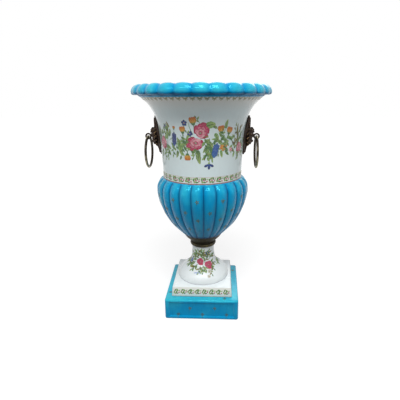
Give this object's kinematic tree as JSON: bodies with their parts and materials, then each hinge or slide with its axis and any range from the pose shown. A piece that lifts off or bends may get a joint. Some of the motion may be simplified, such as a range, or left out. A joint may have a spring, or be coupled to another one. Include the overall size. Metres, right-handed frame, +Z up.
{
  "type": "urn vase",
  "caption": "Porcelain urn vase with a flared bell, a lobed bowl and rim, a bronze collar, a stem on a square plinth, and a loose ring held by a lion mask on each side.",
  "frame": {"origin": "centre of the plinth's underside, on the floor", "axes": "+Z up, -Y the front that faces the camera, the ring handles on +X and -X"},
  "size_m": [0.2288, 0.2288, 0.396],
  "materials": {
    "painted_porcelain": "gloss turquoise glaze on rim and bowl, white bell painted with flowers",
    "white_porcelain": "gloss white glaze painted with a spray of flowers",
    "turquoise_porcelain": "gloss turquoise glaze with gilt sprigs",
    "bronze": "dark patinated bronze",
    "ring_bronze": "worn patinated bronze",
    "steel": "plain",
    "leather": "dull"
  },
  "bodies": {
    "vase": {"plinth": "turquoise_porcelain", "foot": "white_porcelain", "collar": "bronze", "vase_body": "painted_porcelain", "stem_gasket": "leather", "bowl_gasket": "leather", "tie_rod": "steel", "floor_gasket": "leather", "floor_washer": "steel", "floor_nut": "steel", "deck_gasket": "leather", "deck_washer": "steel", "deck_nut": "steel", "mask_left": "bronze", "eye_bolt_left": "bronze", "bolt_gasket_left": "leather", "bolt_washer_left": "steel", "bolt_nut_left": "steel", "mask_right": "bronze", "eye_bolt_right": "bronze", "bolt_gasket_right": "leather", "bolt_washer_right": "steel", "bolt_nut_right": "steel"},
    "left_ring": {"ring_left": "ring_bronze"},
    "right_ring": {"ring_right": "ring_bronze"}
  },
  "joints": [
    {"name": "left_ring_swing", "type": "hinge", "parent": "vase", "child": "left_ring", "pos_m": [-0.09233, 0, 0.3117], "axis": [0, 1, 0], "range_deg": [-24, 178]},
    {"name": "right_ring_swing", "type": "hinge", "parent": "vase", "child": "right_ring", "pos_m": [0.09233, 0, 0.3117], "axis": [0, -1, 0], "range_deg": [-24, 178]}
  ]
}
